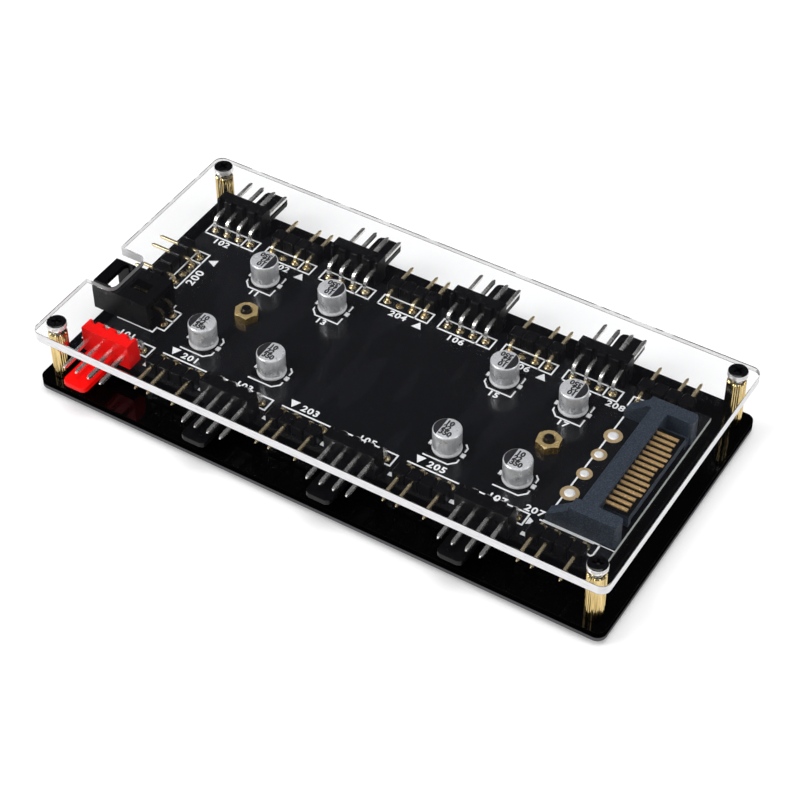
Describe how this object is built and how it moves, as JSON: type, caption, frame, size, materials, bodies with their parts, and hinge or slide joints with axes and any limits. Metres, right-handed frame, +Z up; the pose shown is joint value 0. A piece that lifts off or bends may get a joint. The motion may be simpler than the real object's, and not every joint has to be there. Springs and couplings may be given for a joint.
{
  "type": "pc fan controller hub",
  "caption": "Fan and light hub: a black circuit board of right-angle pin headers, a power socket and capacitors, held between a black base plate and a clear cover plate.",
  "frame": {"origin": "under the middle of the hub, level with the lower faces of the screw heads it stands on", "axes": "+X along the hub towards the power socket, +Y to the back, +Z up"},
  "size_m": [0.11, 0.059, 0.0152],
  "materials": {
    "black_acrylic": "polished black acrylic",
    "clear_acrylic": "polished clear acrylic",
    "black_board": "black solder mask with white print",
    "knurled_brass": "turned brass",
    "black_screw": "black-finished steel",
    "black_nylon": "moulded black nylon",
    "red_nylon": "moulded red nylon",
    "blue_grey_nylon": "moulded dark blue-grey nylon",
    "tinned_pin": "bright tin plating",
    "gold_pin": "thin gold plating",
    "bare_can": "bare aluminium with a black mark"
  },
  "bodies": {
    "root": {"base_plate": "black_acrylic", "base_screws": "black_screw", "board_nuts": "knurled_brass", "board_screws": "black_screw", "board_spacers": "black_nylon", "capacitor_bases": "black_nylon", "capacitor_can_1": "bare_can", "capacitor_can_2": "bare_can", "capacitor_can_3": "bare_can", "capacitor_can_4": "bare_can", "capacitor_can_5": "bare_can", "capacitor_can_6": "bare_can", "capacitor_can_7": "bare_can", "capacitor_can_8": "bare_can", "circuit_board": "black_board", "corner_standoffs": "knurled_brass", "cover_plate": "clear_acrylic", "cover_screws": "black_screw", "fan_header_1": "red_nylon", "fan_header_2": "black_nylon", "fan_header_3": "black_nylon", "fan_header_4": "black_nylon", "fan_header_5": "black_nylon", "fan_header_6": "black_nylon", "fan_header_7": "black_nylon", "fan_header_8": "black_nylon", "fan_pins_1": "tinned_pin", "fan_pins_2": "tinned_pin", "fan_pins_3": "tinned_pin", "fan_pins_4": "tinned_pin", "fan_pins_5": "tinned_pin", "fan_pins_6": "tinned_pin", "fan_pins_7": "tinned_pin", "fan_pins_8": "tinned_pin", "light_header_1": "black_nylon", "light_header_2": "black_nylon", "light_header_3": "black_nylon", "light_header_4": "black_nylon", "light_header_5": "black_nylon", "light_header_6": "black_nylon", "light_header_7": "black_nylon", "light_header_8": "black_nylon", "light_header_input": "black_nylon", "light_pins_1": "gold_pin", "light_pins_2": "gold_pin", "light_pins_3": "gold_pin", "light_pins_4": "gold_pin", "light_pins_5": "gold_pin", "light_pins_6": "gold_pin", "light_pins_7": "gold_pin", "light_pins_8": "gold_pin", "light_pins_input": "gold_pin", "power_contacts": "gold_pin", "power_socket": "blue_grey_nylon", "signal_header": "black_nylon", "signal_pins": "gold_pin"}
  },
  "joints": []
}
